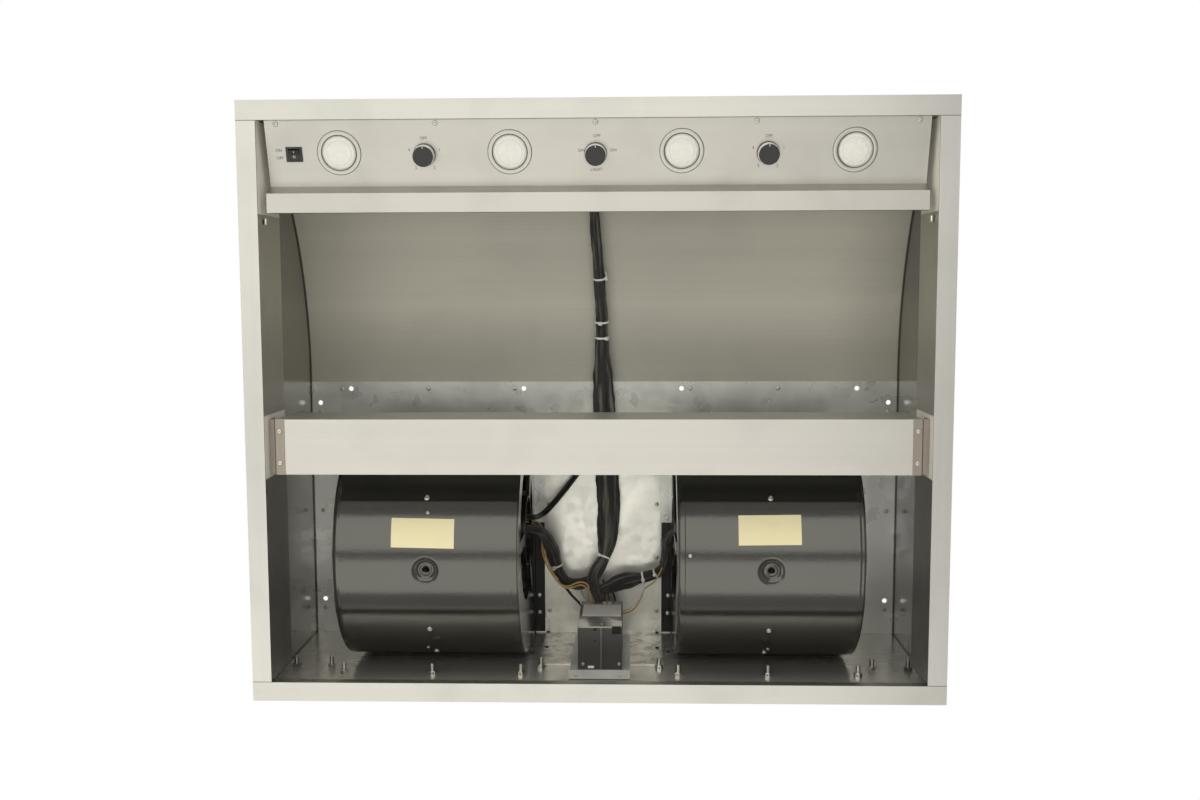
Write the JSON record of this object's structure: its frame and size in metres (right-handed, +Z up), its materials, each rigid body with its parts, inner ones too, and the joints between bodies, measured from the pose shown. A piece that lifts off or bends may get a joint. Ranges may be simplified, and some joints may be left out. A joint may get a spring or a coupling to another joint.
{
  "type": "range hood insert",
  "caption": "Stainless range hood liner seen from its open underside: control strip with lamps and knobs, middle filter rail, twin scroll blowers with motors, duct collars and dampers.",
  "frame": {"origin": "centre of the bottom rim, on its lowest face", "axes": "+Z up as installed with the open mouth facing -Z, -Y towards the cook, +X to the cook's right as they face +Y"},
  "size_m": [0.873, 0.748, 0.3638],
  "materials": {
    "stainless": "brushed stainless sheet, grain along the long edges",
    "dark_stainless": "unlit inner faces of satin stainless sheet",
    "galvanised": "galvanised sheet with a faint spangle",
    "black_paint": "gloss black powder coat",
    "bare_steel": "plain zinc plated steel",
    "black_plastic": "moulded black plastic",
    "white_plastic": "white moulded plastic",
    "clear_cover": "clear moulded plastic",
    "lens": "frosted moulded lens",
    "sleeve": "black woven sleeve",
    "lead": "black cable jacket",
    "chrome_ring": "bright plated ring"
  },
  "bodies": {
    "hood": {"front_rim": "stainless", "rear_rim": "stainless", "left_rim": "stainless", "right_rim": "stainless", "front_canopy": "dark_stainless", "left_side_wall": "dark_stainless", "right_side_wall": "dark_stainless", "back_wall": "dark_stainless", "top_panel": "galvanised", "control_panel": "stainless", "mid_rail": "stainless", "left_rail_bracket": "stainless", "right_rail_bracket": "stainless", "centre_plate": "galvanised", "junction_box_bracket": "galvanised", "left_duct_collar": "galvanised", "right_duct_collar": "galvanised", "left_scroll_wrap": "black_paint", "left_blower_inner_plate": "black_paint", "left_blower_outer_plate": "black_paint", "left_blower_feet": "black_paint", "left_motor_bracket": "black_paint", "left_motor": "bare_steel", "right_scroll_wrap": "black_paint", "right_blower_inner_plate": "black_paint", "right_blower_outer_plate": "black_paint", "right_blower_feet": "black_paint", "right_motor_bracket": "black_paint", "right_motor": "bare_steel", "panel_screws": "bare_steel", "top_screws": "bare_steel", "wall_studs": "bare_steel", "blower_screws": "bare_steel", "damper_pins": "bare_steel", "rotary_switches": "black_plastic", "rocker_housing": "black_plastic", "junction_box": "black_plastic", "junction_box_cover": "clear_cover", "led_driver": "white_plastic", "lamp_housing_1": "chrome_ring", "lamp_housing_2": "chrome_ring", "lamp_housing_3": "chrome_ring", "lamp_housing_4": "chrome_ring", "lamp_lenses": "lens", "main_harness": "sleeve", "left_motor_branch": "sleeve", "right_motor_branch": "sleeve", "left_motor_lead": "lead"},
    "left_wheel": {"left_impeller": "galvanised", "left_motor_shaft": "bare_steel"},
    "right_wheel": {"right_impeller": "galvanised", "right_motor_shaft": "bare_steel"},
    "left_speed_dial": {"left_speed_knob": "black_plastic"},
    "light_dial": {"light_knob": "black_plastic"},
    "right_speed_dial": {"right_speed_knob": "black_plastic"},
    "rocker": {"rocker_paddle": "black_plastic"},
    "left_front_flap": {"left_front_damper_flap": "galvanised"},
    "left_rear_flap": {"left_rear_damper_flap": "galvanised"},
    "right_front_flap": {"right_front_damper_flap": "galvanised"},
    "right_rear_flap": {"right_rear_damper_flap": "galvanised"}
  },
  "joints": [
    {"name": "left_wheel_spin", "type": "hinge", "parent": "hood", "child": "left_wheel", "pos_m": [-0.223, 0.19, 0.175], "axis": [1, 0, 0], "continuous": true},
    {"name": "right_wheel_spin", "type": "hinge", "parent": "hood", "child": "right_wheel", "pos_m": [0.223, 0.19, 0.175], "axis": [1, 0, 0], "continuous": true},
    {"name": "left_speed_turn", "type": "hinge", "parent": "hood", "child": "left_speed_dial", "pos_m": [-0.21, -0.3091, 0.01954], "axis": [0, -0.2715, 0.9624], "range_deg": [0, 288]},
    {"name": "right_speed_turn", "type": "hinge", "parent": "hood", "child": "right_speed_dial", "pos_m": [0.21, -0.3091, 0.01954], "axis": [0, -0.2715, 0.9624], "range_deg": [0, 288]},
    {"name": "light_turn", "type": "hinge", "parent": "hood", "child": "light_dial", "pos_m": [0, -0.3091, 0.01954], "axis": [0, -0.2715, 0.9624], "range_deg": [-90, 90]},
    {"name": "rocker_tip", "type": "hinge", "parent": "hood", "child": "rocker", "pos_m": [-0.3705, -0.31081, 0.02009], "axis": [1, 0, 0], "range_deg": [-18, 0]},
    {"name": "left_front_flap_swing", "type": "hinge", "parent": "hood", "child": "left_front_flap", "pos_m": [-0.223, 0.258, 0.3318], "axis": [-1, 0, 0], "range_deg": [0, 78]},
    {"name": "left_rear_flap_swing", "type": "hinge", "parent": "hood", "child": "left_rear_flap", "pos_m": [-0.223, 0.258, 0.3318], "axis": [1, 0, 0], "range_deg": [0, 78]},
    {"name": "right_front_flap_swing", "type": "hinge", "parent": "hood", "child": "right_front_flap", "pos_m": [0.223, 0.258, 0.3318], "axis": [-1, 0, 0], "range_deg": [0, 78]},
    {"name": "right_rear_flap_swing", "type": "hinge", "parent": "hood", "child": "right_rear_flap", "pos_m": [0.223, 0.258, 0.3318], "axis": [1, 0, 0], "range_deg": [0, 78]}
  ],
  "couplings": [
    {"joint": "left_rear_flap_swing", "follows": "left_front_flap_swing", "ratio": 1},
    {"joint": "right_rear_flap_swing", "follows": "right_front_flap_swing", "ratio": 1}
  ]
}
